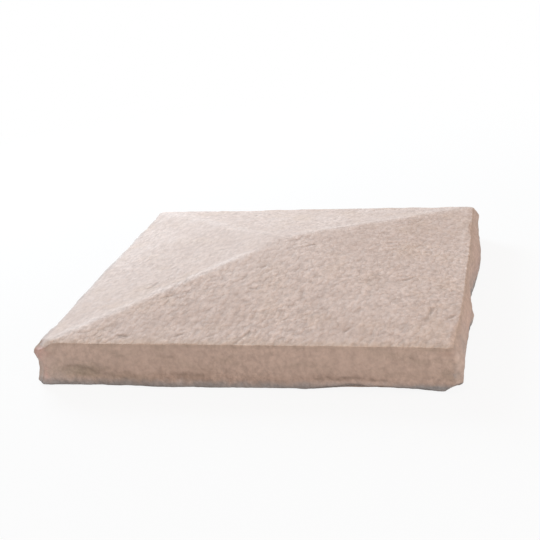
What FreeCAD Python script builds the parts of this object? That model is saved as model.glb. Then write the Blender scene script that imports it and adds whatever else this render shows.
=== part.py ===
"""Pier cap: a square coping stone cast in one piece, with a low hipped top and pitched edges.

Millimetres, +Z up. The origin is the middle of the flat bed face that the stone lies on,
and -Y is the front. Four slopes fall from a blunt crown to the arris, the top edge of the
sides. The sides are rock-faced: they belly out below the arris and wander in and out along
their length, the corners are struck off, and flakes have broken from faces and edges.
"""

import FreeCAD, Part
import math
import os

from FreeCAD import Vector

# Driving dimensions: name, value in millimetres or degrees, and what it measures.
SIZES = [
    ("arris_side", 590, "plan distance between opposite arrises"),
    ("edge_height", 62, "bed face to arris"),
    ("rise", 50, "arris to the point where the hips would meet"),
    ("hip_radius", 40, "rounding along each hip"),
    ("crown_radius", 40, "plan radius over which the crown is worn blunt"),
    ("swell_front", 7, "how far the front side bellies out beyond the arris"),
    ("swell_right", 14, "how far the right side bellies out beyond the arris"),
    ("swell_back", 12, "how far the back side bellies out beyond the arris"),
    ("swell_left", 6, "how far the left side bellies out beyond the arris"),
    ("belly_height", 18, "height of the widest part of the sides"),
    ("corner_facet", 8, "cut back along each side where a corner is struck off"),
    ("wave_length", 226, "length of one wave along a side"),
    ("wave_lean", 70, "turn of the waves' phase from bed to arris, in degrees"),
    ("wave_front", 1, "half height of the waves on the front side"),
    ("wave_right", 1.6, "half height of the waves on the right side"),
    ("wave_back", 2, "half height of the waves on the back side"),
    ("wave_left", 1.6, "half height of the waves on the left side"),
    ("bed_flake_chord", 150, "length of a full-size flake off a bed edge"),
    ("bed_flake_bite", 8, "depth of a full-size flake off a bed edge"),
    ("face_flake_chord", 100, "length of a full-size flake off a side face"),
    ("face_flake_bite", 5, "depth of a full-size flake off a side face"),
    ("arris_flake_chord", 100, "length of a full-size flake off the arris"),
    ("arris_flake_bite", 3, "depth of a full-size flake off the arris"),
    ("corner_chip_chord", 60, "length of a full-size chip off a corner"),
    ("corner_chip_bite", 5, "depth of a full-size chip off a corner"),
]

# The sides in order round the stone, and the phase of each one's waves in degrees.
SIDES = ["front", "right", "back", "left"]
WAVE_PHASE = {"front": 205, "right": 198, "back": 320, "left": 40}
# A finer wave rides on the first: its share of the height, and its waves for each long one.
FINE_SHARE = 0.45
FINE_COUNT = 1.7
# The arris was kept straighter than the face below it: the share of the wave lost there.
ARRIS_CALM = 0.8

# Heights of the rough block's outlines, in edge heights. Those above 1 are cut away.
LEVELS = [0, 0.25, 0.5, 0.75, 1, 1.4, 1.9]
POINTS_ALONG_SIDE = 25

# Flakes off the sides: the side, the place along it from -1 to 1, the height in edge heights,
# how far below the level the blow came from in degrees, and the shares of full length and depth.
BED_FLAKES = [
    ("front", 0.62, 0, 55, 1.44, 0.92),
    ("front", 0.54, 0, 50, 0.53, 1.06),
    ("right", 0.30, 0, 40, 0.33, 0.38),
    ("back", -0.45, 0, 45, 1, 1.12),
    ("left", 0.32, 0, 45, 0.87, 0.88),
]
FACE_FLAKES = [
    ("front", -0.74, 0.45, 0, 0.62, 0.44),
    ("front", -0.30, 0.30, -10, 1.2, 0.32),
    ("right", -0.80, 0.20, 6, 3.6, 1.24),
    ("right", 0, 0, -4, 1.57, 1.35),
    ("right", 0.99, 0.40, 0, 0.82, 2.4),
    ("back", -0.86, 0.35, 0, 1.5, 1.2),
    ("back", -0.20, 0.40, -12, 1, 1.2),
    ("back", 0.18, 0.35, -8, 1.3, 1.6),
    ("back", 0.60, 0.50, -15, 1.1, 1),
    ("back", 0.95, 0.30, 0, 1.2, 1.4),
    ("left", -0.80, 0.35, -10, 1.3, 0.8),
    ("left", -0.35, 0.45, -12, 0.9, 0.6),
    ("left", 0.05, 0.30, 0, 1.4, 0.8),
    ("left", 0.62, 0.45, -12, 1, 0.6),
]
ARRIS_FLAKES = [
    ("right", -0.72, 1, -45, 1.3, 1.17),
    ("right", 0.60, 1, -40, 0.6, 0.67),
    ("back", 0.42, 1, -40, 0.9, 1),
    ("left", 0.61, 1, -35, 0.24, 0.67),
]
# Chips off the corner where a side ends and the next begins: the side, the height, the fall
# of the blow, and the shares of full length and depth.
CORNER_CHIPS = [
    ("front", 0, 50, 1.87, 2.2),
    ("front", 0.55, 0, 1, 0.5),
    ("right", 0, 40, 0.67, 1),
    ("back", 0, 40, 0.87, 1.4),
    ("back", 0.6, -10, 1, 0.8),
    ("left", 0, 40, 0.33, 0.4),
    ("left", 0.47, 0, 0.67, 1.28),
    ("left", 1, -60, 1, 1.3),
]
# A blow on a corner comes in half way between the two sides.
CORNER_SWING = 45

# Side of the small flat that the slopes end on, before the crown is worn blunt.
CROWN_FLAT = "(Sizes.crown_radius / 2)"
# Where the pyramid's hips are trimmed, in arris sides from the axis to the trim's points.
HIP_END_SHARE = 1.2
# Coordinates closer than this are taken as equal.
SAME_PLACE = 0.01


def make_sheet(doc):
    """The spreadsheet of driving dimensions, one aliased cell each."""
    sheet = doc.addObject("Spreadsheet::Sheet", "Sizes")
    for row, (alias, value, meaning) in enumerate(SIZES, start=1):
        sheet.set(f"A{row}", meaning)
        sheet.set(f"B{row}", str(value))
        sheet.setAlias(f"B{row}", alias)
    doc.recompute()
    return sheet


def is_hip(edge):
    """Whether an edge of the pyramid runs down a diagonal of the plan."""
    start, end = (vertex.Point for vertex in edge.Vertexes)
    on_diagonal = all(abs(abs(p.x) - abs(p.y)) < SAME_PLACE for p in (start, end))
    return on_diagonal and abs(end.z - start.z) > SAME_PLACE


def make_slopes(doc):
    """The hipped top with sharp hips: a pyramid whose four slopes pass through the arris.

    It runs down to the level of the bed, and its far corners are trimmed off square to the
    hips, so that every hip ends on a flat.
    """
    slopes = doc.addObject("Part::Wedge", "slopes")
    slopes.Placement.Rotation = FreeCAD.Rotation(Vector(1, 0, 0), 90)
    top = "(Sizes.edge_height + Sizes.rise)"
    eaves = f"(Sizes.arris_side * {top} / Sizes.rise / 2)"
    for axis in "XZ":
        slopes.setExpression(f"{axis}min", f"-{eaves}")
        slopes.setExpression(f"{axis}max", eaves)
        slopes.setExpression(f"{axis}2min", f"-{CROWN_FLAT} / 2")
        slopes.setExpression(f"{axis}2max", f"{CROWN_FLAT} / 2")
    slopes.setExpression("Ymin", "0")
    slopes.setExpression("Ymax", f"{top} - {CROWN_FLAT} * Sizes.rise / Sizes.arris_side")
    diamond = doc.addObject("Part::Prism", "hip_ends")
    diamond.Polygon = 4
    diamond.setExpression("Circumradius", f"{HIP_END_SHARE} * Sizes.arris_side")
    diamond.setExpression("Height", top)
    trimmed = doc.addObject("Part::Common", "trimmed_slopes")
    trimmed.Base = slopes
    trimmed.Tool = diamond
    doc.recompute()
    return trimmed


def make_weathering(doc):
    """The hipped top with its hips rounded."""
    slopes = make_slopes(doc)
    body = doc.addObject("PartDesign::Body", "weathering")
    body.BaseFeature = slopes
    doc.recompute()
    sharp = body.Tip
    edges = enumerate(sharp.Shape.Edges, start=1)
    hips = [f"Edge{number}" for number, edge in edges if is_hip(edge)]
    rounded = body.newObject("PartDesign::Fillet", "rounded_hips")
    rounded.Base = (sharp, hips)
    rounded.setExpression("Radius", "Sizes.hip_radius")
    doc.recompute()
    return body


def blunt_crown(doc, weathering):
    """Wears the crown to a dome: a sphere that touches the hips at the crown radius."""
    hip_run = "(Sizes.arris_side / sqrt(2))"
    hip_length = f"sqrt({hip_run}^2 + Sizes.rise^2)"
    dome = doc.addObject("Part::Sphere", "dome")
    dome.setExpression("Radius", f"Sizes.crown_radius * {hip_length} / Sizes.rise")
    touch = f"Sizes.edge_height + Sizes.rise - Sizes.crown_radius * Sizes.rise / {hip_run}"
    drop = f"Sizes.crown_radius * {hip_run} / Sizes.rise"
    dome.setExpression("Placement.Base.z", f"{touch} - {drop}")
    column = doc.addObject("Part::Cylinder", "crown_column")
    column.setExpression("Radius", "Sizes.crown_radius")
    column.setExpression("Height", "Sizes.rise")
    column.setExpression("Placement.Base.z", "Sizes.edge_height + Sizes.rise / 2")
    waste = doc.addObject("Part::Cut", "crown_waste")
    waste.Base = column
    waste.Tool = dome
    blunted = doc.addObject("Part::Cut", "blunted_weathering")
    blunted.Base = weathering
    blunted.Tool = waste
    return blunted


def following(side):
    """The side that begins where this one ends."""
    return SIDES[(SIDES.index(side) + 1) % len(SIDES)]


def turned(side, along, out, height):
    """The point of a side given as along it, out from the axis and up."""
    return {
        "front": Vector(along, -out, height),
        "right": Vector(out, along, height),
        "back": Vector(-along, out, height),
        "left": Vector(-out, -along, height),
    }[side]


def side_curve(sheet, side, level, reach):
    """One side of an outline at a height of level edge heights: a curve that wanders.

    It stands out by its reach plus two sine waves, which lean as they rise, and stops short
    of both corners by the corner facet.
    """
    before = SIDES[SIDES.index(side) - 1]
    first = sheet.corner_facet - reach[before]
    last = reach[following(side)] - sheet.corner_facet
    strength = 1 - ARRIS_CALM * min(level, 1) ** 2
    height = strength * sheet.get(f"wave_{side}")
    start = math.radians(WAVE_PHASE[side])
    lean = math.radians(sheet.wave_lean) * level
    shares = [n / (POINTS_ALONG_SIDE - 1) for n in range(POINTS_ALONG_SIDE)]
    points = []
    for share in shares:
        along = first + (last - first) * share
        turn = 2 * math.pi * along / sheet.wave_length
        wave = math.sin(turn + start + lean)
        wave += FINE_SHARE * math.sin(FINE_COUNT * turn + 2 * start - lean)
        points.append(turned(side, along, reach[side] + height * wave, level * sheet.edge_height))
    curve = Part.BSplineCurve()
    curve.interpolate(Points=points, Parameters=shares)
    return curve


def outline(sheet, level):
    """One closed outline of the rough block: four wandering sides joined by corner facets.

    A side's reach from the axis is a parabola over the height: it is the arris at the top
    of the edge, and the full swell more at the belly.
    """
    belly = sheet.belly_height / sheet.edge_height
    share = 1 - ((level - belly) / (1 - belly)) ** 2
    reach = {side: sheet.arris_side / 2 + share * sheet.get(f"swell_{side}") for side in SIDES}
    curves = [side_curve(sheet, side, level, reach) for side in SIDES]
    edges = []
    for curve, after in zip(curves, curves[1:] + curves[:1]):
        facet = Part.LineSegment(curve.EndPoint, after.StartPoint)
        edges += [curve.toShape(), facet.toShape()]
    return Part.Wire(edges)


def make_rough_block(doc, sheet):
    """The pitched block, lofted through its outlines from the bed to above the crown."""
    sections = []
    for number, level in enumerate(LEVELS):
        section = doc.addObject("Part::Feature", f"outline_{number}")
        section.Shape = outline(sheet, level)
        sections.append(section)
    block = doc.addObject("Part::Loft", "rough_block")
    block.Sections = sections
    block.Solid = True
    block.Ruled = False
    return block


def side_reach(side, level):
    """Expression for the distance from the axis to a side at a height of level edge heights."""
    share = f"(({level} * Sizes.edge_height - Sizes.belly_height)"
    share += " / (Sizes.edge_height - Sizes.belly_height))"
    return f"(Sizes.arris_side / 2 + Sizes.swell_{side} * (1 - {share}^2))"


def conchoidal_bite(doc, name, side, start, swing, fall, chord, bite):
    """A sphere that takes a shallow shell out of the stone at a point of its surface.

    start is the point as expressions along the side, out from the axis and up. The blow came
    from below the level by its fall, and from square on to the side but for its swing.
    """
    swing, fall = math.radians(swing), math.radians(fall)
    heading = (math.cos(fall) * math.sin(swing), math.cos(fall) * math.cos(swing), -math.sin(fall))
    sphere = doc.addObject("Part::Sphere", name)
    radius = f"(({chord})^2 / 4 + ({bite})^2) / (2 * ({bite}))"
    sphere.setExpression("Radius", radius)
    along, out, up = (
        f"({place}) + ({share:.6f}) * ({radius} - ({bite}))" for place, share in zip(start, heading)
    )
    x, y = {
        "front": (along, f"-({out})"),
        "right": (out, along),
        "back": (f"-({along})", out),
        "left": (f"-({out})", f"-({along})"),
    }[side]
    sphere.setExpression("Placement.Base.x", x)
    sphere.setExpression("Placement.Base.y", y)
    sphere.setExpression("Placement.Base.z", up)
    return sphere


def make_flakes(doc):
    """All the flakes and chips that broke off the stone, in the order they are struck off."""
    flakes = []
    kinds = {"bed_flake": BED_FLAKES, "face_flake": FACE_FLAKES, "arris_flake": ARRIS_FLAKES}
    for kind, table in kinds.items():
        for number, (side, place, level, fall, long, deep) in enumerate(table, start=1):
            start = (
                f"{place} * Sizes.arris_side / 2",
                side_reach(side, level),
                f"{level} * Sizes.edge_height",
            )
            size = f"{long} * Sizes.{kind}_chord", f"{deep} * Sizes.{kind}_bite"
            name = f"{kind}_{side}_{number}"
            flakes.append(conchoidal_bite(doc, name, side, start, 0, fall, *size))
    for number, (side, level, fall, long, deep) in enumerate(CORNER_CHIPS, start=1):
        start = (
            f"({side_reach(following(side), level)} - Sizes.corner_facet / 2)",
            f"({side_reach(side, level)} - Sizes.corner_facet / 2)",
            f"{level} * Sizes.edge_height",
        )
        size = f"{long} * Sizes.corner_chip_chord", f"{deep} * Sizes.corner_chip_bite"
        name = f"corner_chip_{side}_{number}"
        flakes.append(conchoidal_bite(doc, name, side, start, CORNER_SWING, fall, *size))
    return flakes


def make_cap(doc, sheet):
    """The stone: the rough block under its weathering, less the flakes."""
    weathered = doc.addObject("Part::Common", "weathered_block")
    weathered.Base = make_rough_block(doc, sheet)
    weathered.Tool = blunt_crown(doc, make_weathering(doc))
    cap = weathered
    for flake in make_flakes(doc):
        struck = doc.addObject("Part::Cut", f"struck_{flake.Name}")
        struck.Base = cap
        struck.Tool = flake
        cap = struck
    cap.Label = "pier_cap"
    doc.recompute()
    return cap


def check(doc, parts):
    """Stops the build if any object failed or a part is not one closed, valid solid."""
    for item in doc.Objects:
        if {"Invalid", "Error"} & set(item.State):
            raise RuntimeError(f"{item.Label} failed: {item.State}")
    for part in parts:
        shape = part.Shape
        if shape.isNull() or not shape.isValid() or len(shape.Solids) != 1:
            raise RuntimeError(f"{part.Label} is not one valid solid")


def main():
    doc = FreeCAD.newDocument("pier_cap_stone")
    sheet = make_sheet(doc)
    parts = [make_cap(doc, sheet)]
    check(doc, parts)
    os.makedirs("parts", exist_ok=True)
    for part in parts:
        part.Shape.exportStep(f"parts/{part.Label}.step")
        box = part.Shape.optimalBoundingBox(False)
        print(part.Label, "volume", round(part.Shape.Volume / 1e6, 3), "litres")
        print(f"{box.XLength:.1f} x {box.YLength:.1f} x {box.ZLength:.1f} mm")


main()
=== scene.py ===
"""Pier cap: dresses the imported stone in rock-faced cast stone and sets a plain studio round it.

Metres, +Z up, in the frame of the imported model: the origin is the middle of the bed face, and
-Y is the front. The stone is one closed surface: a square net over the hipped top, a band of
rows round the pitched sides, and rings across the bed.
"""

import itertools
import math
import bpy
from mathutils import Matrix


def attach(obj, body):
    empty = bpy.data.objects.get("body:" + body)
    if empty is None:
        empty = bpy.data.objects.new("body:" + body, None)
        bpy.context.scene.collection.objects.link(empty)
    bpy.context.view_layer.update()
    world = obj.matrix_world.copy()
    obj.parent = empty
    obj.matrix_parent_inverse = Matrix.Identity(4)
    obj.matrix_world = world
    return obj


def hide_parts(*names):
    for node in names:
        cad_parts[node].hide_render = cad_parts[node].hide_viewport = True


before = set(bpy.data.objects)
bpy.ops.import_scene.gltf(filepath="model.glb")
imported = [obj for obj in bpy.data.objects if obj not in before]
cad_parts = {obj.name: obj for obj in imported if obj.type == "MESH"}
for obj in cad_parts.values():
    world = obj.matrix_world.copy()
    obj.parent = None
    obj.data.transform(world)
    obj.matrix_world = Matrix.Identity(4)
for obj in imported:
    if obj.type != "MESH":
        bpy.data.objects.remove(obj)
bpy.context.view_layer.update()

from types import SimpleNamespace

import bpy
import numpy as np
from bpy.props import FloatProperty, FloatVectorProperty, PointerProperty
from mathutils import Matrix, Vector

bl_info = {
    "name": "Pier cap",
    "version": (1, 0, 0),
    "blender": (4, 5, 0),
    "location": "View3D > Sidebar > Pier cap",
    "description": "Dresses a cast-stone pier cap and sets a studio round it",
    "category": "Object",
}

NODE = "pier_cap"
MM = 0.001
# Keeps a division from being one by nothing.
TINY = 1e-12

# The sides of the stone are numbered round it: front, right, back and left. Each is the front
# side turned about the axis, by an angle with this cosine and sine.
FRONT, RIGHT, BACK, LEFT = range(4)
SIDE_TURNS = ((1, 0), (0, 1), (-1, 0), (0, -1))

# The net: columns along a side, columns across half a corner facet, and rows down a side.
ALONG_COLUMNS = 246
FACET_COLUMNS = 3
SIDE_COLUMNS = ALONG_COLUMNS + 2 * FACET_COLUMNS
EDGE_ROWS = 26
# How far the rows of a side crowd towards its arris and its bed, from 0 to 1.
END_CROWDING = 0.55
# Rings of the bed, in shares of its outline.
BED_RINGS = (0.995, 0.98, 0.95, 0.8, 0.4)
# How far a point of the arris counts as part of a pitched side.
ON_ARRIS = 0.5

# Blows that struck flakes off, square on to a side: the side, the place along it from -1 to 1,
# the height in edge heights, the fall of the blow below level in degrees, and the chord and the
# depth of the flake in millimetres.
BLOWS = [
    (FRONT, 0.62, 0, 55, 216, 7.4),
    (FRONT, 0.54, 0, 50, 80, 8.5),
    (FRONT, -0.74, 0.45, 0, 62, 2.2),
    (FRONT, -0.30, 0.30, -10, 120, 1.6),
    (RIGHT, -0.80, 0.20, 6, 360, 6.2),
    (RIGHT, -0.88, 1, -45, 110, 4.5),
    (RIGHT, -0.40, 0.20, 6, 90, 5),
    (RIGHT, 0, 0, -4, 157, 6.75),
    (RIGHT, 0.30, 0, 40, 50, 3),
    (RIGHT, 0.60, 1, -40, 60, 2),
    (RIGHT, 0.93, 0.40, 0, 110, 7),
    (BACK, -0.86, 0.35, 0, 150, 6),
    (BACK, -0.45, 0, 45, 150, 9),
    (BACK, -0.20, 0.40, -12, 100, 6),
    (BACK, 0.18, 0.35, -8, 130, 8),
    (BACK, 0.42, 1, -40, 90, 3),
    (BACK, 0.60, 0.50, -15, 110, 5),
    (BACK, 0.95, 0.30, 0, 120, 7),
    (LEFT, -0.80, 0.35, -10, 130, 4),
    (LEFT, -0.35, 0.45, -12, 90, 3),
    (LEFT, 0.05, 0.30, 0, 140, 4),
    (LEFT, 0.32, 0, 45, 130, 7),
    (LEFT, 0.62, 0.45, -12, 100, 3),
    (LEFT, 0.52, 1, -35, 24, 2),
    (LEFT, 0.64, 1, -35, 22, 2.2),
    (LEFT, 0.77, 1, -40, 28, 2.6),
]
# Blows on the corner where a side ends and the next begins: the side, the height, the fall,
# the chord and the depth.
CORNER_BLOWS = [
    (FRONT, 0, 50, 102, 12.5),
    (FRONT, 0.55, 0, 60, 2.5),
    (RIGHT, 0.40, 0, 80, 9),
    (BACK, 0, 40, 52, 7),
    (BACK, 0.6, -10, 60, 4),
    (LEFT, 0, 40, 20, 2),
    (LEFT, 0.47, 0, 44, 5.6),
    (LEFT, 1, -60, 60, 6.5),
]
# Turns of the blows from square on to the side, in degrees: on a corner they come in half way
# between the two sides.
SQUARE_ON = 0
CORNER_SWING = 45
# Knobs left standing between blows: the side, the middle along it and up it, the radius and
# the height, in millimetres.
KNOBS = [
    (LEFT, 288, 48, 11, 4.2),
]
# Burrs left by the blows, in the same way.
BURRS = [
    (RIGHT, -80, 16, 9, 3.4),
]
# Nicks in the slopes, as lines over the plan from point to point, with their width and depth,
# all in millimetres.
SLOPE_NICKS = [
    ((-178, -134), (-171, -131), 2.2, 0.9),
    ((-171, -131), (-167, -112), 2.2, 0.9),
    ((-3, -290), (12, -261), 2.4, 0.9),
    ((-176, -274), (-164, -275), 2.8, 1.1),
    ((-97, -277), (-84, -269), 2.4, 0.8),
    ((-46, -274), (-38, -271), 2.4, 0.7),
    ((-30, -125), (-23, -114), 3.0, 0.7),
    ((-12, -150), (-1, -150), 2.6, 0.6),
    ((4, -136), (8, -122), 2.6, 0.7),
    ((-6, -91), (-1, -85), 2.6, 0.6),
    ((45, -21), (62, 0), 2.4, 0.8),
    ((145, -259), (150, -252), 2.6, 0.8),
    ((211, -91), (222, -74), 2.6, 0.8),
    ((251, -224), (259, -176), 2.4, 0.8),
    ((280, -206), (289, -189), 2.6, 0.9),
    ((-133, -172), (-127, -169), 2.6, 0.7),
]
# Cracks and scores in the front face, as lines along it and up it, in the same way.
FRONT_CRACKS = [
    ((106, 16), (124, 20), 1.8, 1.6),
    ((124, 20), (140, 18), 1.8, 1.6),
    ((140, 18), (154, 21), 1.8, 2.0),
    ((154, 21), (189, 18), 1.8, 1.6),
    ((189, 18), (203, 16), 1.8, 1.0),
    ((-255, 29), (-238, 33), 2.4, 0.9),
    ((-238, 33), (-205, 21), 2.4, 0.9),
    ((-205, 21), (-180, 19), 2.4, 0.7),
    ((-120, 22), (-50, 20), 2.2, 0.8),
    ((-108, 44), (-92, 45), 2.0, 0.8),
    ((238, 49), (240, 48), 2.4, 0.7),
    ((269, 48), (272, 47), 2.4, 0.8),
]
# Stains on the sides, by kind: the side, the middle along it and up it, the half length and
# the half height in millimetres, and the strength.
STAINS = {
    "olive": [
        (FRONT, -225, 24, 34, 10, 0.95),
        (FRONT, -160, 15, 55, 6, 0.5),
        (FRONT, 291, 27, 10, 10, 0.35),
        (RIGHT, 80, 58, 80, 5, 0.15),
    ],
    "rust": [
        (FRONT, -90, 17, 65, 7, 0.7),
        (FRONT, 20, 14, 70, 6, 0.4),
        (FRONT, 150, 19, 50, 5, 0.5),
        (FRONT, 287, 58, 9, 5, 0.5),
        (FRONT, 292, 53, 5, 6, 0.6),
        (RIGHT, -120, 57, 110, 7, 0.3),
    ],
    "blush": [
        (FRONT, -294, 50, 12, 14, 0.9),
        (FRONT, -283, 16, 4, 9, 0.8),
        (RIGHT, 90, 26, 70, 20, 0.3),
        (RIGHT, -180, 30, 80, 20, 0.25),
    ],
    "bleach": [
        (FRONT, -264, 14, 20, 8, 0.6),
        # Painted light: pale on the downward spall facet under the crack, in place of light
        # reflected from the floor.
        (FRONT, 155, 11, 40, 4, 0.6),
        (FRONT, 299, 50, 3, 10, 0.4),
    ],
    "soot": [
        (FRONT, 255, 4, 45, 6, 0.5),
        (RIGHT, 60, 20, 240, 14, 0.35),
        (RIGHT, -255, 30, 60, 26, 0.25),
        (RIGHT, -235, 46, 25, 12, 0.2),
    ],
}
# A stain stops just round a corner: where a point is out from the axis by less than this share
# of its distance along the side.
STAIN_CORNER = 0.97
# Pale blooms on the slopes: the middle over the plan, the half widths across and from front to
# back in millimetres, and the strength.
SLOPE_BLOOMS = [
    (-70, -276, 60, 24, 0.9),
    (-55, -112, 45, 45, 0.7),
    (286, 40, 10, 180, 0.8),
]
# What the mesh tells its finish at every point.
MARKS = ("pitched", "relief", "nicked", "worn", "edge", *STAINS)

# Where a hip's drift has died down by half on the way to the crown, and over what reach it does.
HIP_START = 0.05
HIP_BLEND = 0.03
# Phases of the waves of the four sides.
WAVE_PHASE = [math.radians(a) for a in (205, 198, 320, 40)]
# How sharply the outward direction swings round at a corner.
CORNER_POWER = 11
# How fast the bow of an arris dies down below it.
BOW_POWER = 6
# Shares of a side's columns between which its small flakes have their full depth.
FULL_FLAKES = (0.03, 0.97)

# Reaches from the arris: of the strip with no small flakes, of the blend of the slope's relief
# and the side's, of the chips, and of the tinted rim on the front and the painted shade on the
# left slope. Then the middle and the half height of the painted shade below the arris.
FLAKE_FREE = 0.014
ARRIS_BLEND = 0.006
CHIP_REACH = 0.005
FRONT_RIM = 0.012
LEFT_RIM = 0.006
UNDER_ARRIS = 0.0022
UNDER_ARRIS_SPREAD = 0.0016
# The small flakes die out over this height above the bed.
FLAKE_FOOT = 0.006

# The bead of a hip: how far it lies off the diagonal, how much wider it is at the corner, the
# share of its run over which it begins, and its usual and its greatest share of the full height.
BEAD_OFFSET = 0.0085
BEAD_FLARE = 0.8
BEAD_START = 0.1
BEAD_USUAL = 0.85
BEAD_MOST = 1.3

# Noise in the relief: its height, the size of its lumps in metres, how many layers of ever
# finer lumps it has, and its seed. The height is in metres or a share of a size of the stone.
FLAKE_ROUGHNESS = (0.0005, 0.012, 3, 71)
FLAKE_UNDULATION = (0.0009, 0.04, 1, 75)
GROOVE_RAGGED = (0.0016, 0.009, 2, 61)
STAIN_RAGGED = (0.6, 0.03, 4, 81)
BEAD_WANDER = (0.003, 0.05, 1, 19)
BEAD_UNEVEN = (0.6, 0.04, 1, 20)
STIPPLE = ((1, 0.0062, 1, 11), (0.9, 0.011, 1, 12), (0.7, 0.02, 1, 13))
SWAY = ((0.4, 0.055, 1, 17), (1, 0.13, 1, 18))
LEDGES = (0.5, 0.055, 3, 31)
LUMPS = (0.5, 0.024, 3, 37)
GRIT = (1, 0.007, 1, 41)
ARRIS_CHIPS = (1, 0.022, 2, 51)
FLAKE_WARP = (0.006, 0.03, 1, 43)
# Size and seed of the small flakes.
SMALL_FLAKES = (0.046, 45)
# The arris is chipped where its noise is above minus this.
CHIP_START = 0.05
# The back and left slopes are calmer: the middle of the two halves' relief, half their
# difference, and the reach over which it changes.
RELIEF_MIDDLE = 0.8
RELIEF_SWING = 0.2
RELIEF_BLEND = 0.01
# The grain of the slopes is drawn out from front to back by the float that smoothed the mould.
DRAWN = (1, 0.66, 1)
# Ledges, the edges of stains and the stain in the finish are drawn out along the level.
LEDGE_STRETCH = (1, 1, 5)
STAIN_STRETCH = (1, 1, 3)
STREAK_STRETCH = (1, 1, 3.5)

# Brings the smooth noise to about -1 to 1.
RIPPLE_GAIN = 1.6
# How much the bowls of the small flakes differ in depth.
BOWL_SPREAD = 0.5
# Odd factors that scatter whole numbers over 32 bits.
HASH_STEPS = np.array([2654435761, 2246822519, 3266489917], dtype=np.uint32)
HASH_SEED = 668265263

# Noises of the finish, in lumps to the metre.
CLOUD_SCALE = 7
PATCH_SCALE = 11
STREAK_SCALE = 14
SANDY_SCALE = 17
MOTTLE_SCALE = 70
WORM_SCALE = 135
LUMP_SCALE = 170
GRAIN_SCALE = 420
# Strengths of the tints of the finish, from 0 to 1.
SANDY_TINT = 0.45
CROWN_TINT = 0.4
# Painted light near the crown on the front slope, which the key lamp leaves in shade.
CROWN_LIGHT = 0.3
# Wear and painted highlight along the hips.
HIP_WEAR_AND_HIGHLIGHT = 0.6
FRONT_RIM_TINT = 0.8
# Painted shade along the left arris.
LEFT_RIM_SHADE = 0.28
STREAK_TINT = 0.35
# Painted shade: olive laid over the back and left sides, which the key lamp lights.
LIT_SIDE_SHADE = 0.12
# Painted shade along the bed, and how much of it the sides lit by the key lamp lose.
BED_SHADE = 0.9
LIT_SIDE_BED_SHADE_LOSS = 0.65
# Painted shade just below the arris.
UNDER_ARRIS_SHADE = 0.3
# Dirt and painted shade in hollows, and painted shade in nicks and cracks.
HOLLOW_DIRT_AND_SHADE = 0.25
NICK_SHADE = 0.6
# How much less lively the grain is on the sides, on the far half and on the left slope, and how
# much more at the foot of the sides.
SIDE_CALM = 0.3
FAR_CALM = 0.15
LEFT_CALM = 0.1
FOOT_LIVELY = 0.25
SPECULAR = 0.3

# The floor: how far it reaches, how far it lies below the bed, and where its glow begins to
# rise from its least and is full.
FLOOR_REACH = 6.0
FLOOR_DROP = 0.0005
GLOW_LEAST = 0.9
GLOW_RISES = 0.5
GLOW_FULL = 1.6
WHITE = (1, 1, 1, 1)


def maker(kind, **settings):
    """A function that makes properties of one kind from a name, a default and a description."""

    def make(name, default, description):
        return kind(name=name, default=default, description=description, **settings)

    return make


# Kinds of properties: metres, radians, watts, millimetres of lens and plain numbers, then places,
# colours in linear light, and lengths and angles for the four sides from the front to the left.
length = maker(FloatProperty, unit="LENGTH")
angle = maker(FloatProperty, subtype="ANGLE")
power = maker(FloatProperty, unit="POWER")
focus = maker(FloatProperty, unit="CAMERA")
share = maker(FloatProperty)
spot = maker(FloatVectorProperty, subtype="TRANSLATION")
colour = maker(FloatVectorProperty, subtype="COLOR", min=0, max=1)
four_sides = maker(FloatVectorProperty, size=4, unit="LENGTH", precision=4)
four_angles = maker(FloatVectorProperty, size=4, unit="ROTATION")


class StoneSizes(bpy.types.PropertyGroup):
    """Sizes of the stone."""

    arris_side: length("Arris side", 0.590, "Plan distance between opposite arrises")
    edge_height: length("Edge height", 0.062, "Bed face to arris")
    rise: length("Rise", 0.050, "Arris to the point where the hips would meet")
    hip_softness: length("Hip softness", 0.009, "Width over which a hip is rounded")
    hip_drift: length("Hip drift", 0.012, "How far the front left hip lies off the diagonal")
    crown_softness: length("Crown softness", 0.014, "Reach over which the crown is worn blunt")
    swell: four_sides("Swell", (0.007, 0.014, 0.012, 0.006), "How far each side bellies out")
    belly_height: length("Belly height", 0.018, "Height of the widest part of the sides")
    corner_facet: length("Corner facet", 0.008, "Cut back along a side at a struck-off corner")
    wave_length: length("Wave length", 0.226, "Length of one wave along a side")
    wave_height: four_sides("Waves", (0.0010, 0.0016, 0.0020, 0.0016), "Half height of the waves")
    wave_phase: four_angles("Wave phase", WAVE_PHASE, "Phase of each side's waves")
    wave_lean: angle("Wave lean", math.radians(70), "Turn of the waves' phase from bed to arris")
    fine_share: share("Fine wave", 0.45, "Height of the finer wave for each long one")
    fine_count: share("Fine count", 1.7, "Finer waves for each long one")
    arris_bow: four_sides("Arris bow", (0, 0.0035, 0, 0), "How far the arris bows out in its middle")
    arris_calm: share("Arris calm", 0.8, "Share of the wave lost at the arris")
    stipple: length("Stipple", 0.00026, "Depth of the stipple on the slopes")
    sway: length("Sway", 0.0008, "How far the slopes wander from true planes")
    bead: four_sides("Bead", (0.0002, 0.0008, 0.0010, 0.0012), "Height of the bead on the next hip")
    bead_width: length("Bead width", 0.012, "Half width of the bead along a hip")
    bed_round: length("Bed edge", 0.004, "Radius of the worn edge of the bed")
    arris_chip: length("Arris chips", 0.0013, "Depth of the small chips along the arris")
    side_relief: length("Side relief", 0.0012, "Depth of the layers and grit on the sides")
    scallop: four_sides("Scallops", (0.0010, 0.0007, 0.0048, 0.0042), "Depth of the small flakes")


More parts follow.
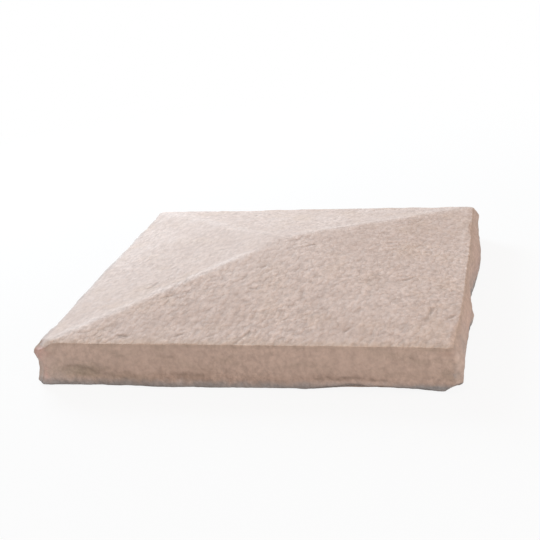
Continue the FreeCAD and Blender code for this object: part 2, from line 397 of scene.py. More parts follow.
class StoneColours(bpy.types.PropertyGroup):
    """Colours of the stone."""

    buff: colour("Buff", (0.63, 0.497, 0.433), "Main colour of the slopes")
    pale: colour("Pale", (0.70, 0.57, 0.508), "Pale bloom on the slopes")
    rose: colour("Rose", (0.60, 0.462, 0.393), "Main colour of the broken sides")
    # Olive is also painted shade: on the back and left sides that the key lamp lights, and just
    # below the arris.
    olive: colour("Olive", (0.44, 0.352, 0.282), "Stain in the hollows of the sides")
    # Chalk is wear on the hips and arrises, a painted highlight along the hip crests, and painted
    # light near the crown.
    chalk: colour("Chalk", (0.76, 0.635, 0.575), "Worn hips and arrises")
    rust: colour("Rust", (0.47, 0.345, 0.285), "Reddish-brown stain on the sides")
    blush: colour("Blush", (0.67, 0.445, 0.395), "Pink of fresh breaks")
    # Grey of the painted shade along the bed and along the left arris, and of the soot stains.
    shade_and_soot: colour("Grime", (0.365, 0.357, 0.36), "Grey dirt along the bed")
    sand: colour("Sand", (0.655, 0.505, 0.41), "Sandy patches on the slopes")
    # Umber is dirt and painted shade in the hollows, and painted shade in nicks and cracks.
    umber: colour("Umber", (0.30, 0.23, 0.19), "Pits and cracks")


class StudioSettings(bpy.types.PropertyGroup):
    """Camera, lamps and floor."""

    eye: spot("Eye", (0.3848, -1.5971, 0.6851), "Place of the camera")
    heading: angle("Heading", math.radians(-14.10), "Turn of the view from ahead, clockwise")
    dip: angle("Dip", math.radians(20.86), "Dip of the view below the horizon")
    tilt: angle("Tilt", math.radians(-5.41), "Roll of the camera")
    lens: focus("Lens", 72.87, "Focal length")
    key_place: spot("Key place", (-1.86, 1.86, 1.23), "Place of the lamp behind on the left")
    key_size: length("Key size", 1.4, "Side of the lamp behind on the left")
    key_power: power("Key", 113, "Power of the lamp behind on the left")
    key_tone: colour("Key tone", (0.70, 0.875, 1.0), "Colour of the lamp behind on the left")
    fill_place: spot("Fill place", (2.7, -1.7, 0.9), "Place of the lamp in front on the right")
    fill_size: length("Fill size", 1.6, "Side of the lamp in front on the right")
    fill_power: power("Fill", 29.5, "Power of the lamp in front on the right")
    fill_tone: colour("Fill tone", (1.0, 0.96, 0.92), "Colour of the lamp in front on the right")
    sky: colour("Sky", (0.527, 0.463, 0.427), "Soft light from all round")
    floor: colour("Floor", (0.80, 0.80, 0.80), "Colour of the floor")


def bell(distance, width):
    """1 at no distance, about a third at the width, and next to nothing at twice the width."""
    return np.exp(-((distance / width) ** 2))


def unit(vectors):
    """The vectors, each brought to length 1."""
    return vectors / np.maximum(np.linalg.norm(vectors, axis=1, keepdims=True), TINY)


def scatter(cells, seed):
    """Random numbers from 0 to 1, one for each whole-number cell, always the same.

    A cell's three numbers are multiplied by large odd factors and added, and the sum's bits
    are folded over and multiplied again.
    """
    mixed = (cells.astype(np.uint32) * HASH_STEPS).sum(axis=-1, dtype=np.uint32)
    mixed = mixed + np.uint32(seed * HASH_SEED % 2**32)
    for step in HASH_STEPS[1:]:
        mixed = (mixed ^ (mixed >> np.uint32(15))) * step
    return (mixed ^ (mixed >> np.uint32(16))) / 2.0**32


def ripple(points, cell, seed):
    """Smooth noise of about -1 to 1 over points in space, with lumps about one cell across.

    Each corner of a lattice of cells has a random slope. A point gets the heights of the
    eight slopes round it, blended by a curve that is flat at the corners.
    """
    scaled = points / cell
    base = np.floor(scaled)
    inside = scaled - base
    blend = inside**3 * (inside * (inside * 6 - 15) + 10)
    total = np.zeros(len(points))
    for corner in itertools.product((0, 1), repeat=3):
        place = np.array(corner)
        cells = (base + place).astype(np.int64)
        slopes = np.stack([scatter(cells, 3 * seed + axis) for axis in range(3)], axis=-1)
        height = ((inside - place) * (2 * slopes - 1)).sum(axis=-1)
        total += height * np.where(place, blend, 1 - blend).prod(axis=-1)
    return RIPPLE_GAIN * total


def layered(points, height, cell, count, seed):
    """Noise in layers: each has lumps half as wide and half as high as the one before."""
    return height * sum(ripple(points, cell / 2**n, seed + n) / 2**n for n in range(count))


def scallops(points, cell, seed):
    """Relief of about -1 to 1 like small flakes struck side by side, with ridges between them.

    Each cell of a lattice has a bowl at a random place and depth. A point's height is that of
    the lowest of the bowls round it, so bowls meet in sharp ridges.
    """
    scaled = points / cell
    base = np.floor(scaled)
    lowest = np.full(len(points), np.inf)
    for step in itertools.product((-1, 0, 1), repeat=3):
        cells = (base + np.array(step)).astype(np.int64)
        jitter = np.stack([scatter(cells, 4 * seed + axis) for axis in range(3)], axis=-1)
        away = ((scaled - cells - jitter) ** 2).sum(axis=-1)
        lowest = np.minimum(lowest, away + BOWL_SPREAD * scatter(cells, 4 * seed + 3))
    return 2 * lowest - 1


def turned(side, along, out, up):
    """Points of a side, given along it, out from the axis and up, as x, y and z."""
    c, s = SIDE_TURNS[side]
    return np.stack(np.broadcast_arrays(c * along + s * out, s * along - c * out, up), axis=-1)


def along_and_out(side, points):
    """How far points lie along a side, and how far out from the axis towards it."""
    c, s = SIDE_TURNS[side]
    x, y = points[:, 0], points[:, 1]
    return c * x + s * y, s * x - c * y


def reach(sizes, side, level):
    """Distance from the axis to a side before its waves, at a height in edge heights.

    It is a parabola: the arris at the top of the edge, and the full swell more at the belly.
    """
    belly = sizes.belly_height / sizes.edge_height
    fullness = 1 - ((level - belly) / (1 - belly)) ** 2
    return sizes.arris_side / 2 + fullness * sizes.swell[side]


def side_surface(sizes, side, level, run):
    """The pitched face of a side over its height and its length, without its flakes.

    It stands out by its reach plus two sine waves, which lean as they rise and die down
    towards the arris, plus a parabola along the arris that dies down towards the bed, and
    stops short of both corners by the corner facet.
    """
    first = sizes.corner_facet - reach(sizes, (side - 1) % 4, level)
    last = reach(sizes, (side + 1) % 4, level) - sizes.corner_facet
    along = first + (last - first) * run
    phase = sizes.wave_phase[side]
    lean = sizes.wave_lean * level
    turn = 2 * math.pi * along / sizes.wave_length
    wave = np.sin(turn + phase + lean)
    wave += sizes.fine_share * np.sin(sizes.fine_count * turn + 2 * phase - lean)
    strength = sizes.wave_height[side] * (1 - sizes.arris_calm * level**2)
    bow = sizes.arris_bow[side] * level**BOW_POWER * (1 - (2 * run - 1) ** 2)
    out = reach(sizes, side, level) + strength * wave + bow
    return turned(side, along, out, level * sizes.edge_height)


def pitched_band(sizes):
    """The four sides and the corner facets as rows from arris to bed, each once round the stone.

    A facet is a straight run from the end of one side to the start of the next, and each
    side's stretch of columns begins and ends in the middle of a facet. Near the bed the rows
    draw in along a quarter circle. The heights are stretched so that the top row lies on the
    rim of the slopes.
    """
    down = np.linspace(0, 1, EDGE_ROWS + 1)[:, None]
    level = 1 - down + END_CROWDING * np.sin(2 * math.pi * down) / (2 * math.pi)
    run = np.linspace(0, 1, ALONG_COLUMNS + 1)[None, :]
    faces = [side_surface(sizes, side, level, run) for side in range(4)]
    across = np.linspace(0, 0.5, FACET_COLUMNS + 1)[None, :, None]
    stretches = []
    for side in range(4):
        before, face, after = faces[side - 1], faces[side], faces[(side + 1) % 4]
        start, end = face[:, :1], face[:, -1:]
        lead_in = start + (before[:, -1:] - start) * across[:, :0:-1]
        lead_out = end + (after[:, :1] - end) * across[:, 1:-1]
        stretches += [lead_in, face, lead_out]
    band = np.concatenate(stretches, axis=1)
    below = np.clip(sizes.bed_round - band[..., 2:], 0, sizes.bed_round)
    inward = sizes.bed_round - np.sqrt(sizes.bed_round**2 - below**2)
    band[..., :2] *= 1 - 2 * inward / sizes.arris_side
    band[..., 2] *= slopes_height(sizes, band[0, :, 0], band[0, :, 1]) / sizes.edge_height
    return band


def slopes_height(sizes, x, y):
    """Height of the hipped top over a point of the plan.

    It falls in proportion to the larger of the distances from the two middle lines. Both are
    lengths of a slanted line, so the crown is blunt, and the larger is taken softly, so the
    hips are round. The front left hip drifts a little towards the front.
    """
    across = np.hypot(x, sizes.crown_softness)
    ahead = np.hypot(y, sizes.crown_softness)
    drift = sizes.hip_drift * (0.5 - 0.5 * np.tanh((x + y + HIP_START) / HIP_BLEND))
    larger = (across + ahead + np.hypot(across - ahead + drift, sizes.hip_softness)) / 2
    fall = 2 * sizes.rise / sizes.arris_side
    return sizes.edge_height + sizes.rise - fall * larger


def top_net(sizes, arris):
    """The slopes as a square net whose rim is the arris.

    A point of the net lies on a square about the middle. It takes its direction from the
    point of the arris that is as far round as it is, and its distance from the square's size.
    """
    count = SIDE_COLUMNS
    u, v = np.meshgrid(*2 * [np.linspace(-1, 1, count + 1)], indexing="ij")
    size = np.maximum(abs(u), abs(v))
    safe = np.where(size > 0, size, 1)
    side = np.select([v == -size, u == size, v == size], [FRONT, RIGHT, BACK], LEFT)
    along = np.select([v == -size, u == size, v == size], [u, v, -u], -v) / safe
    place = (side + (along + 1) / 2) * count
    ring = np.concatenate([arris, arris[:1]])
    x, y = (size * np.interp(place, np.arange(len(ring)), ring[:, axis]) for axis in (0, 1))
    return np.stack([x, y, slopes_height(sizes, x, y)], axis=-1)


def net_numbers():
    """Numbers of the net's points, in the net's own rows and columns."""
    return np.arange((SIDE_COLUMNS + 1) ** 2).reshape(SIDE_COLUMNS + 1, SIDE_COLUMNS + 1)


def rim_of_net():
    """Numbers of the net's rim points, in the order of the arris: front, right, back, left."""
    number = net_numbers()
    return np.concatenate(
        [number[:-1, 0], number[-1, :-1], number[:0:-1, -1], number[0, :0:-1]]
    )


def net_faces():
    """Four-cornered faces of the net, seen from above."""
    number = net_numbers()
    corners = [number[:-1, :-1], number[1:, :-1], number[1:, 1:], number[:-1, 1:]]
    return np.stack(corners, axis=-1).reshape(-1, 4)


def band_faces(rows):
    """Four-cornered faces between rows of points that each go once round the stone."""
    upper, lower = rows[:-1], rows[1:]
    corners = [upper, lower, np.roll(lower, -1, axis=1), np.roll(upper, -1, axis=1)]
    return np.stack(corners, axis=-1).reshape(-1, 4)


def bed_fan(ring, middle):
    """Three-cornered faces from the innermost ring of the bed to its middle."""
    return np.stack([ring, np.full_like(ring, middle), np.roll(ring, -1)], axis=-1)


def vertex_normals(points, faces):
    """The unit normal at each point: the sum of its faces' normals, each as long as its area."""
    a, b, c, d = (points[faces[:, k]] for k in range(4))
    across = np.cross(c - a, d - b)
    total = np.zeros_like(points)
    for k in range(4):
        np.add.at(total, faces[:, k], across)
    return unit(total)


def eased(normals, points, near_arris):
    """The normals, turned near the arris towards the slant half way between slope and side.

    Outward is the plan position with both parts raised to a high power, which is square on to
    a side along most of it and swings round at the corners.
    """
    plan = points[:, :2] / abs(points[:, :2]).max()
    outward = unit(plan * abs(plan) ** CORNER_POWER)
    slant = np.concatenate([outward, np.ones((len(points), 1))], axis=1) / math.sqrt(2)
    return unit(normals + (slant - normals) * near_arris[:, None])


def flake_balls(sizes):
    """Centre and radius of every ball that struck a flake off the stone.

    A ball's radius follows from the flake's chord and depth, and its centre lies that far
    out along the direction of the blow, less the depth.
    """
    half = sizes.arris_side / 2
    blows = []
    for side, place, level, fall, chord, bite in BLOWS:
        start = (place * half, reach(sizes, side, level), level * sizes.edge_height)
        blows.append((side, start, SQUARE_ON, fall, chord, bite))
    for side, level, fall, chord, bite in CORNER_BLOWS:
        inset = sizes.corner_facet / 2
        across = reach(sizes, (side + 1) % 4, level) - inset
        start = (across, reach(sizes, side, level) - inset, level * sizes.edge_height)
        blows.append((side, start, CORNER_SWING, fall, chord, bite))
    balls = []
    for side, start, swing, fall, chord, bite in blows:
        swing, fall = math.radians(swing), math.radians(fall)
        level_part = math.cos(fall)
        blow = (level_part * math.sin(swing), level_part * math.cos(swing), -math.sin(fall))
        radius = (chord**2 / 4 + bite**2) / (2 * bite)
        centre = np.array(start) + np.array(blow) * (radius - bite) * MM
        balls.append((turned(side, *centre), radius * MM))
    return balls


def lifted(points, sizes, lumps):
    """The points after lumps rise from the sides, each like a bell about its middle."""
    for side, along, up, radius, height in lumps:
        middle = turned(side, along * MM, reach(sizes, side, up * MM / sizes.edge_height), up * MM)
        rise = height * MM * bell(np.linalg.norm(points - middle, axis=1), radius * MM)
        points = points + turned(side, 0.0, 1.0, 0.0) * rise[:, None]
    return points


def struck(points, sizes):
    """The points after the flakes broke off round the knobs and left their burrs.

    A point inside a ball is pushed away from the ball's centre to its rough surface.
    """
    points = lifted(points, sizes, KNOBS)
    rough = layered(points, *FLAKE_ROUGHNESS) + layered(points, *FLAKE_UNDULATION)
    for centre, radius in flake_balls(sizes):
        offset = points - centre
        distance = np.linalg.norm(offset, axis=1)
        push = np.maximum(radius + rough - distance, 0)
        points = points + offset / distance[:, None] * push[:, None]
    return lifted(points, sizes, BURRS)


def groove_depth(places, lines, ragged):
    """How deep each place lies in a groove: most on its line, fading like a bell to either side."""
    depth = np.zeros(len(places))
    for first, last, width, most in lines:
        first, last = np.array(first) * MM, np.array(last) * MM
        line = last - first
        run = np.clip((places - first) @ line / (line @ line), 0, 1)
        distance = np.linalg.norm(places - first - run[:, None] * line, axis=1) + ragged
        depth = np.maximum(depth, most * MM * bell(distance, width * MM))
    return depth


def nick_depth(points, pitched):
    """Depth of the nicks of the slopes and of the cracks in the front face."""
    ragged = abs(layered(points, *GROOVE_RAGGED))
    on_slopes = groove_depth(points[:, :2], SLOPE_NICKS, ragged) * (pitched < ON_ARRIS)
    facing = (pitched > ON_ARRIS) & (points[:, 1] < -abs(points[:, 0]))
    return on_slopes + groove_depth(points[:, ::2], FRONT_CRACKS, ragged) * facing


def stain_strength(points, pitched, stains):
    """Strength of stains of one kind on the sides, each a bell over its length and height."""
    ragged = 1 + layered(points * np.array(STAIN_STRETCH), *STAIN_RAGGED)
    total = np.zeros(len(points))
    for side, along, up, half_length, half_height, strength in stains:
        place, out = along_and_out(side, points)
        off_middle = (place / MM - along) / half_length
        off_level = (points[:, 2] / MM - up) / half_height
        spread = np.exp(-(off_middle**2 + off_level**2) * ragged**2)
        total += strength * spread * (out > abs(place) * STAIN_CORNER)
    return total * (pitched > ON_ARRIS)


def bloom_strength(points, pitched):
    """Strength of the pale blooms on the slopes, each a bell over the plan."""
    total = np.zeros(len(points))
    for x, y, half_width, half_depth, strength in SLOPE_BLOOMS:
        away = (points[:, :2] / MM - np.array([x, y])) / np.array([half_width, half_depth])
        total += strength * np.exp(-(away**2).sum(axis=1))
    return total * (pitched <= ON_ARRIS)


def hip_bead(points, sizes):
    """The worn bead along each hip: a bell across it, wider and lower towards the corner."""
    x, y = points[:, 0], points[:, 1]
    end = np.select([(x > 0) & (y < 0), (x > 0) & (y >= 0), y >= 0], [FRONT, RIGHT, BACK], LEFT)
    run = np.hypot(x, y) * math.sqrt(2) / sizes.arris_side
    off_hip = (abs(x) - abs(y)) / math.sqrt(2) + layered(points, *BEAD_WANDER) + BEAD_OFFSET
    width = sizes.bead_width * (1 + BEAD_FLARE * run**3)
    uneven = np.clip(BEAD_USUAL + layered(points, *BEAD_UNEVEN), 0, BEAD_MOST)
    return np.array(sizes.bead)[end] * bell(off_hip, width) * uneven * (1 - bell(run, BEAD_START))


def top_relief(points, sizes):
    """Relief of the slopes: a fine stipple, a slow sway, and a worn bead along the hips."""
    drawn = points * np.array(DRAWN)
    stipple = sum(layered(drawn, *noise) for noise in STIPPLE)
    sway = sum(layered(points, *noise) for noise in SWAY)
    far = np.tanh((points[:, 1] - points[:, 0]) / RELIEF_BLEND)
    lively = RELIEF_MIDDLE - RELIEF_SWING * far
    return (sizes.stipple * stipple + sizes.sway * sway) * lively + hip_bead(points, sizes)


def side_relief(points, rugged, sizes):
    """Relief of the pitched sides: small flakes, layers drawn out along the level, and grit."""
    ledges = layered(points * np.array(LEDGE_STRETCH), *LEDGES)
    lumps = layered(points, *LUMPS)
    flakes = scallops(points + layered(points, *FLAKE_WARP)[:, None], *SMALL_FLAKES)
    grit = layered(points, *GRIT)
    return rugged * flakes + sizes.side_relief * (ledges + lumps) + sizes.stipple * grit


def bed_rings(rim):
    """The rings of the bed: its rim, drawn in towards the axis by the share of each ring."""
    return np.array(BED_RINGS)[:, None, None] * rim


def plain_stone(sizes):
    """The points of the stone before the blows, and the numbers of those on each row round it.

    The net's points come first, then the rows of the sides below the arris, the rings of the
    bed and its middle. The rows of numbers run from the arris to the innermost ring.
    """
    band = pitched_band(sizes)
    net = top_net(sizes, band[0]).reshape(-1, 3)
    rings = bed_rings(band[-1]).reshape(-1, 3)
    points = np.concatenate([net, band[1:].reshape(-1, 3), rings, np.zeros((1, 3))])
    loose = np.arange(len(net), len(points) - 1).reshape(-1, band.shape[1])
    return points, np.concatenate([rim_of_net()[None], loose])


def pitched_share(points, rows):
    """1 on the pitched sides, half on the arris, and 0 on the slopes and the bed."""
    pitched = np.zeros(len(points))
    pitched[rows[1:EDGE_ROWS + 1]] = 1
    pitched[rows[0]] = ON_ARRIS
    return pitched


def arris_distance(points, rows, sizes):
    """Distance of each point from the arris: in height on the sides, and over the plan elsewhere."""
    away = abs(sizes.arris_side / 2 - abs(points[:, :2]).max(axis=1))
    heights = points[rows[:EDGE_ROWS + 1], 2]
    away[rows[:EDGE_ROWS + 1]] = heights[0] - heights
    return away


def ruggedness(points, rows, from_arris, sizes):
    """Depth of the small flakes at each point of the sides.

    It is each side's own along most of it, goes over to the next side's at the corner, and
    dies out towards the arris and the bed.
    """
    around = 4 * SIDE_COLUMNS
    ends = (np.arange(4)[:, None] + np.array(FULL_FLAKES)).ravel() * SIDE_COLUMNS
    rugged = np.zeros(len(points))
    rugged[rows] = np.interp(np.arange(around), ends, np.repeat(sizes.scallop, 2), period=around)
    return rugged * (1 - bell(from_arris, FLAKE_FREE)) * (1 - bell(points[:, 2], FLAKE_FOOT))


def cut_stone(sizes):
    """The stone after the blows: its points, rows and faces, and what its relief goes by.

    The rings of the bed are drawn anew inside its struck rim, and struck in their turn.
    """
    points, rows = plain_stone(sizes)
    from_arris = arris_distance(points, rows, sizes)
    stone = SimpleNamespace(
        rows=rows,
        quads=np.concatenate([net_faces(), band_faces(rows)]),
        pitched=pitched_share(points, rows),
        rugged=ruggedness(points, rows, from_arris, sizes),
        from_arris=from_arris,
        near_arris=bell(from_arris, ARRIS_BLEND),
        points=struck(points, sizes),
    )
    rings = bed_rings(stone.points[rows[EDGE_ROWS]] * np.array([1, 1, 0]))
    stone.points[rows[EDGE_ROWS + 1:]] = struck(rings.reshape(-1, 3), sizes).reshape(rings.shape)
    return stone


def stone_relief(stone, sizes):
    """Relief of the whole stone: the slopes' or the sides', and half of each along the arris."""
    top = top_relief(stone.points, sizes)
    side = side_relief(stone.points, stone.rugged, sizes)
    sided = stone.pitched + (ON_ARRIS - stone.pitched) * stone.near_arris
    return top * (1 - sided) + side * sided


def rim_tint(stone):
    """Where the finish is tinted along the arris: bells above it on two slopes and below it. On the
    left slope and below the arris the tint is painted shade.
    """
    x, y = stone.points[:, 0], stone.points[:, 1]
    rim = np.select([-y > abs(x), -x > abs(y)], [FRONT_RIM, LEFT_RIM], TINY)
    above = bell(stone.from_arris, rim) * (stone.pitched <= ON_ARRIS)
    below = bell(stone.from_arris - UNDER_ARRIS, UNDER_ARRIS_SPREAD) * (stone.pitched > ON_ARRIS)
    return above + below


def finish_marks(stone, relief, nicks, sizes):
    """What the mesh tells its finish at every point, by name.

    The relief is in shares of its usual height, and the nicks in millimetres up to 1.
    """
    points, pitched = stone.points, stone.pitched
    usual = np.where(pitched > ON_ARRIS, stone.rugged + sizes.side_relief, sizes.sway)
    hips = hip_bead(points, sizes) / MM * (1 - pitched)
    marks = {kind: stain_strength(points, pitched, STAINS[kind]) for kind in STAINS}
    marks["pitched"] = pitched
    marks["relief"] = relief / usual
    marks["nicked"] = np.minimum(nicks / MM, 1)
    # The hips' share is wear and also a painted highlight along the hip crests.
    marks["worn"] = hips + bloom_strength(points, pitched)
    # The rim carries painted shade on the left slope and below the arris.
    marks["edge"] = rim_tint(stone)
    return marks


def stone_mesh(sizes):
    """The mesh of the whole stone, with the marks that its finish reads.

    Each point of the cut stone is moved along its normal by the relief, less the nicks and the
    small chips along the arris. The bed stays flat.
    """
    stone = cut_stone(sizes)
    relief = stone_relief(stone, sizes)
    nicks = nick_depth(stone.points, stone.pitched)
    chips = np.maximum(layered(stone.points, *ARRIS_CHIPS) + CHIP_START, 0)
    chips = sizes.arris_chip * chips * bell(stone.from_arris, CHIP_REACH)
    moved = relief - nicks - chips
    middle = len(moved) - 1
    moved[stone.rows[EDGE_ROWS:]] = 0
    moved[middle] = 0
    normals = eased(vertex_normals(stone.points, stone.quads), stone.points, stone.near_arris)
    stone.points = stone.points + normals * moved[:, None]
    stone.points[:, 2] = np.maximum(stone.points[:, 2], 0)
    fan = bed_fan(stone.rows[-1], middle)
    mesh = bpy.data.meshes.new("pier_cap_stone")
    mesh.from_pydata(stone.points, [], stone.quads.tolist() + fan.tolist())
    for name, values in finish_marks(stone, relief, nicks, sizes).items():
        attribute = mesh.attributes.new(name, "FLOAT", "POINT")
        attribute.data.foreach_set("value", values.astype(np.float32))
    mesh.shade_smooth()
    return mesh


class Wire:
    """A socket of a material's nodes. Arithmetic on it adds Math nodes."""

    def __init__(self, tree, socket=None):
        self.tree = tree
        self.socket = socket

    def node(self, kind, sockets=None, output=0, **settings):
        """Adds any node: its settings first, then its sockets' values or links."""
        made = self.tree.nodes.new(kind)
        for name, value in settings.items():
            setattr(made, name, value)
        for name, value in (sockets or {}).items():
            if isinstance(value, Wire):
                self.tree.links.new(value.socket, made.inputs[name])
            else:
                made.inputs[name].default_value = value
        return Wire(self.tree, made.outputs[output]) if len(made.outputs) else made

    def maths(self, operation, first, second):
        return self.node("ShaderNodeMath", {0: first, 1: second}, operation=operation)

    def __add__(self, other):
        return self.maths("ADD", self, other)

    __radd__ = __add__

    def __sub__(self, other):
        return self.maths("SUBTRACT", self, other)

    def __rsub__(self, other):
        return self.maths("SUBTRACT", other, self)

    def __mul__(self, other):
        return self.maths("MULTIPLY", self, other)

    __rmul__ = __mul__

    def __pow__(self, other):
        return self.maths("POWER", self, other)

    def between(self, low, high):
        """0 at low, 1 at high and a smooth curve between them."""
        sockets = {"Value": self, "From Min": low, "From Max": high}
        return self.node("ShaderNodeMapRange", sockets, interpolation_type="SMOOTHSTEP")

    def tint(self, under, over):
        """One colour over another, by this amount."""
        return self.node("ShaderNodeMix", {0: self, 6: under, 7: over}, 2, data_type="RGBA")

    def stretched(self, factors):
        """A place with each of its parts multiplied by a factor."""
        return self.node("ShaderNodeVectorMath", {0: self, 1: factors}, operation="MULTIPLY")

    def distance(self):
        """How far a place is from the origin."""
        return self.node("ShaderNodeVectorMath", {0: self}, "Value", operation="LENGTH")

    def noise(self, scale, detail=2, roughness=0.5):
        """Noise over a place, with this many lumps to the metre."""
        sockets = {"Vector": self, "Scale": scale, "Detail": detail, "Roughness": roughness}
        return self.node("ShaderNodeTexNoise", sockets)

    def grains(self, scale, output="Distance"):
        """Grains, this many to the metre: how far off each one's middle is, or a tone for each."""
        return self.node("ShaderNodeTexVoronoi", {"Vector": self, "Scale": scale}, output)

    def into(self, socket):
        """Joins this to a socket of another node."""
        self.tree.links.new(self.socket, socket)


def opaque(tone):
    """A colour property as the four numbers of a colour socket."""
    return (*tone, 1)


def stone_wires(tree):
    """What the finish is worked out from: the mesh's marks, the place, masks and noises.

    The far half is the back and the left of the stone, the half that the key lamp lights, and `left`
    is the left quarter. Grain is lively in patches, calmer on the sides and the far half, and
    livelier at the sides' foot.
    """
    start = Wire(tree)
    on = SimpleNamespace(start=start, place=start.node("ShaderNodeTexCoord", output="Object"))
    for name in MARKS:
        setattr(on, name, start.node("ShaderNodeAttribute", output="Fac", attribute_name=name))
    x, y, z = (start.node("ShaderNodeSeparateXYZ", {0: on.place}, axis) for axis in "XYZ")
    on.front_half, on.height = y.between(0.01, -0.01), z
    on.sided = on.pitched.between(0.3, 0.7)
    on.far = (y - x).between(-0.012, 0.012)
    on.left = on.far * (0.0 - x - y).between(-0.02, 0.02)
    on.from_crown = on.place.stretched((1, 1, 0)).distance()
    drawn = on.place.stretched(DRAWN)
    on.mottle = drawn.noise(MOTTLE_SCALE, 3, 0.6)
    on.worm = drawn.noise(WORM_SCALE, 4, 0.63)
    on.grain = drawn.noise(GRAIN_SCALE, 2, 0.7)
    on.lump = drawn.grains(LUMP_SCALE)
    on.speck = drawn.grains(LUMP_SCALE, "Color")
    patchy = on.place.noise(PATCH_SCALE).between(0.3, 0.7) * 0.5 + 0.73
    calm = on.far * FAR_CALM + on.left * LEFT_CALM
    foot = on.sided * z.between(0.032, 0.014) * FOOT_LIVELY
    on.lively = patchy * (1.0 - on.sided * SIDE_CALM - calm + foot)
    return on


def tinted(colour_below, *tints):
    """A colour under tints, which are amounts and colours, each laid over the ones before."""
    for amount, tone in tints:
        colour_below = amount.tint(colour_below, tone)
    return colour_below


def slope_colour(on, tones):
    """Buff with a pale bloom, sandy patches, a pale crown, chalky hips that are worn and carry a
    painted highlight, painted light near the crown in front, a tinted rim and painted shade on the
    left rim.
    """
    bloom = (on.place.noise(CLOUD_SCALE, 3) * 0.45 + on.mottle * 0.55).between(0.36, 0.64)
    sandy = on.place.noise(SANDY_SCALE, 3).between(0.45, 0.72) * SANDY_TINT
    crown = on.from_crown.between(0.2, 0.04) * CROWN_TINT
    near = 1.0 - on.far
    # Painted light: chalk near the crown on the front slope, which the key lamp leaves in shade.
    painted_crown_light = near * on.from_crown.between(0.2, 0.03) * on.front_half * CROWN_LIGHT
    return tinted(
        tones.buff,
        (bloom, tones.pale),
        (sandy, tones.sand),
        (crown, tones.pale),
        # Chalk on the hips is wear and a painted highlight along their crests.
        (on.worn * HIP_WEAR_AND_HIGHLIGHT + painted_crown_light, tones.chalk),
        (on.edge * near * FRONT_RIM_TINT, tones.sand),
        # Painted shade along the left arris.
        (on.edge * on.left * LEFT_RIM_SHADE, tones.shade_and_soot),
    )


def side_colour(on, tones):
    """Rose with olive streaks, the stains of the sides, and painted shade: on the lamp-lit back and
    left, rising from the bed, and below the arris.
    """
    streaks = on.place.stretched(STREAK_STRETCH).noise(STREAK_SCALE, 4, 0.6).between(0.44, 0.7)
    # Painted shade that rises from the bed in place of the contact shadow, less on the sides the key
    # lamp lights; the soot stains go on top.
    shade_and_soot = (on.height + on.mottle * 0.014).between(0.024, 0.009)
    shade_and_soot = shade_and_soot * (BED_SHADE - on.far * LIT_SIDE_BED_SHADE_LOSS) + on.soot
    return tinted(
        tones.rose,
        # The olive on the back and left sides is painted shade on the sides that the key lamp
        # lights.
        (streaks * STREAK_TINT + on.olive + on.far * LIT_SIDE_SHADE, tones.olive),
        (on.rust, tones.rust),
        (on.blush, tones.blush),
        # Pale patches of the sides; the one on the spall facet under the crack is painted bounce
        # light.
        (on.bleach, tones.pale),
        (shade_and_soot, tones.shade_and_soot),
        # Painted shade just below the arris.
        (on.edge * UNDER_ARRIS_SHADE, tones.olive),
    )


def stone_colour(on, tones):
    """The colours of slopes and sides, darkened by dirt and painted shade in hollows and by painted
    shade in nicks and cracks, and flecked by the grain.
    """
    body = on.sided.tint(slope_colour(on, tones), side_colour(on, tones))
    # Umber: dirt and painted shade in the hollows, painted shade in the nicks and cracks.
    dirt_and_shade = (0.0 - on.relief).between(0.3, 1.5) * HOLLOW_DIRT_AND_SHADE + on.nicked * NICK_SHADE
    body = dirt_and_shade.tint(body, tones.umber)
    fleck = on.speck * 0.07 + on.worm.between(0.3, 0.7) * 0.26 - on.lump.between(0.4, 0.75) * 0.07
    lift = (fleck - 0.12) * on.lively + 1.0
    return on.start.node("ShaderNodeVectorMath", {0: body, "Scale": lift}, operation="SCALE")


def cast_stone(colours):
    """Cast stone: fine sandy grain, pale bloom on the slopes, rose and olive on the sides."""
    material = bpy.data.materials.new("cast_stone")
    material.use_nodes = True
    shader = material.node_tree.nodes["Principled BSDF"]
    on = stone_wires(material.node_tree)
    names = StoneColours.__annotations__
    tones = SimpleNamespace(**{name: opaque(getattr(colours, name)) for name in names})
    stone_colour(on, tones).into(shader.inputs["Base Color"])
    dull = on.grain * 0.12 + 0.82
    dull.into(shader.inputs["Roughness"])
    height = (on.grain * 0.03 + on.worm * 0.7 - on.lump ** 2.0 * 0.6) * on.lively
    sockets = {"Height": height, "Strength": 0.46, "Distance": 0.0022}
    on.start.node("ShaderNodeBump", sockets).into(shader.inputs["Normal"])
    shader.inputs["Specular IOR Level"].default_value = SPECULAR
    return material


def floor_finish(tone):
    """A pale floor that the camera sees as white, with the stone's shadow on it."""
    material = bpy.data.materials.new("floor")
    material.use_nodes = True
    tree = material.node_tree
    tree.nodes.clear()
    start = Wire(tree)
    paint = start.node("ShaderNodeBsdfDiffuse", {"Color": opaque(tone)})
    glow = start.node("ShaderNodeEmission", {"Color": WHITE, "Strength": 1})
    ray = start.node("ShaderNodeLightPath", output="Is Camera Ray")
    away = start.node("ShaderNodeTexCoord", output="Object").distance()
    glowing = away.between(GLOW_RISES, GLOW_FULL) * (1 - GLOW_LEAST) + GLOW_LEAST
    mixed = start.node("ShaderNodeMixShader", {0: ray * glowing, 1: paint, 2: glow})
    start.node("ShaderNodeOutputMaterial", {"Surface": mixed})
    return material


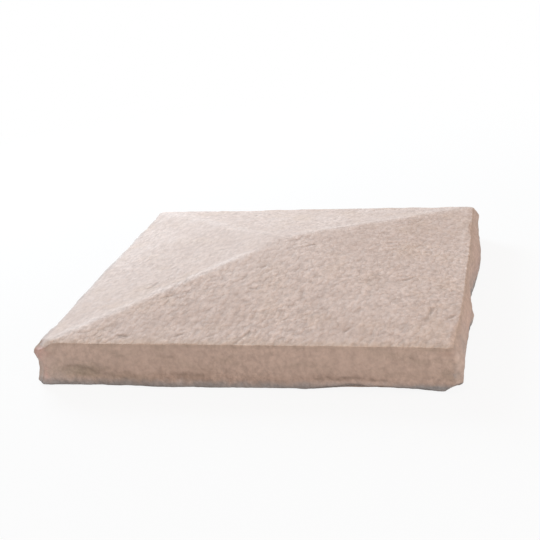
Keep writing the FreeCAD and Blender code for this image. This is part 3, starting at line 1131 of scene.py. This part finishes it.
def white_world(tone):
    """Soft light from all round. The camera sees it as white."""
    world = bpy.data.worlds.new("studio")
    world.use_nodes = True
    tree = world.node_tree
    tree.nodes.clear()
    start = Wire(tree)
    soft = start.node("ShaderNodeBackground", {"Color": opaque(tone), "Strength": 1})
    white = start.node("ShaderNodeBackground", {"Color": WHITE, "Strength": 1})
    ray = start.node("ShaderNodeLightPath", output="Is Camera Ray")
    mixed = start.node("ShaderNodeMixShader", {0: ray, 1: soft, 2: white})
    start.node("ShaderNodeOutputWorld", {"Surface": mixed})
    return world


def add_floor(tone):
    """A wide square floor just below the bed."""
    mesh = bpy.data.meshes.new("floor")
    corners = [(-1, -1), (1, -1), (1, 1), (-1, 1)]
    points = [(x * FLOOR_REACH, y * FLOOR_REACH, -FLOOR_DROP) for x, y in corners]
    mesh.from_pydata(points, [], [(0, 1, 2, 3)])
    mesh.materials.append(floor_finish(tone))
    floor = bpy.data.objects.new("floor", mesh)
    bpy.context.scene.collection.objects.link(floor)
    return floor


def add_lamp(name, place, size, watts, tone):
    """A square area lamp that faces the stone."""
    data = bpy.data.lights.new(name, "AREA")
    data.size = size
    data.energy = watts
    data.color = tone
    lamp = bpy.data.objects.new(name, data)
    lamp.location = place
    lamp.rotation_euler = (-Vector(place)).to_track_quat("-Z", "Y").to_euler()
    bpy.context.scene.collection.objects.link(lamp)


def add_camera(studio):
    """The camera at the eye: turned to its heading, dipped below the horizon, and rolled."""
    data = bpy.data.cameras.new("camera")
    data.lens = studio.lens
    camera = bpy.data.objects.new("camera", data)
    heading = Matrix.Rotation(-studio.heading, 4, "Z")
    dip = Matrix.Rotation(math.pi / 2 - studio.dip, 4, "X")
    tilt = Matrix.Rotation(studio.tilt, 4, "Z")
    camera.matrix_world = Matrix.Translation(studio.eye) @ heading @ dip @ tilt
    bpy.context.scene.collection.objects.link(camera)
    return camera


class DressStone(bpy.types.Operator):
    """Builds the stone's surface and its finish"""

    bl_idname = "pier_cap.dress_stone"
    bl_label = "Dress stone"

    def execute(self, context):
        mesh = stone_mesh(context.scene.pier_cap_sizes)
        stone = bpy.data.objects.new("stone", mesh)
        context.scene.collection.objects.link(stone)
        mesh.materials.append(cast_stone(context.scene.pier_cap_colours))
        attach(stone, "root")
        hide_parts(NODE)
        return {"FINISHED"}


class SetStage(bpy.types.Operator):
    """Sets the floor, the lamps and the camera"""

    bl_idname = "pier_cap.set_stage"
    bl_label = "Set stage"

    def execute(self, context):
        studio = context.scene.pier_cap_studio
        floor = add_floor(studio.floor)
        context.scene.world = white_world(studio.sky)
        add_lamp("key", studio.key_place, studio.key_size, studio.key_power, studio.key_tone)
        add_lamp("fill", studio.fill_place, studio.fill_size, studio.fill_power, studio.fill_tone)
        context.scene.camera = add_camera(studio)
        context.scene.view_settings.view_transform = "Standard"
        return {"FINISHED"}


class PierCapPanel(bpy.types.Panel):
    """Sizes, colours and studio of the pier cap"""

    bl_idname = "VIEW3D_PT_pier_cap"
    bl_label = "Pier cap"
    bl_space_type = "VIEW_3D"
    bl_region_type = "UI"
    bl_category = "Pier cap"

    def draw(self, context):
        for group in GROUPS:
            box = self.layout.box()
            settings = getattr(context.scene, group)
            for name in settings.__annotations__:
                box.prop(settings, name)
        self.layout.operator(DressStone.bl_idname)
        self.layout.operator(SetStage.bl_idname)


# The groups of settings, by their names on the scene.
GROUPS = {
    "pier_cap_sizes": StoneSizes,
    "pier_cap_colours": StoneColours,
    "pier_cap_studio": StudioSettings,
}
CLASSES = (*GROUPS.values(), DressStone, SetStage, PierCapPanel)


def register():
    for made in CLASSES:
        bpy.utils.register_class(made)
    for name, group in GROUPS.items():
        setattr(bpy.types.Scene, name, PointerProperty(type=group))


def unregister():
    for name in GROUPS:
        delattr(bpy.types.Scene, name)
    for made in reversed(CLASSES):
        bpy.utils.unregister_class(made)


def main():
    """Builds everything in order: registers the settings, dresses the stone and sets the stage."""
    register()
    bpy.ops.pier_cap.dress_stone()
    bpy.ops.pier_cap.set_stage()


if __name__ == "__main__":
    main()
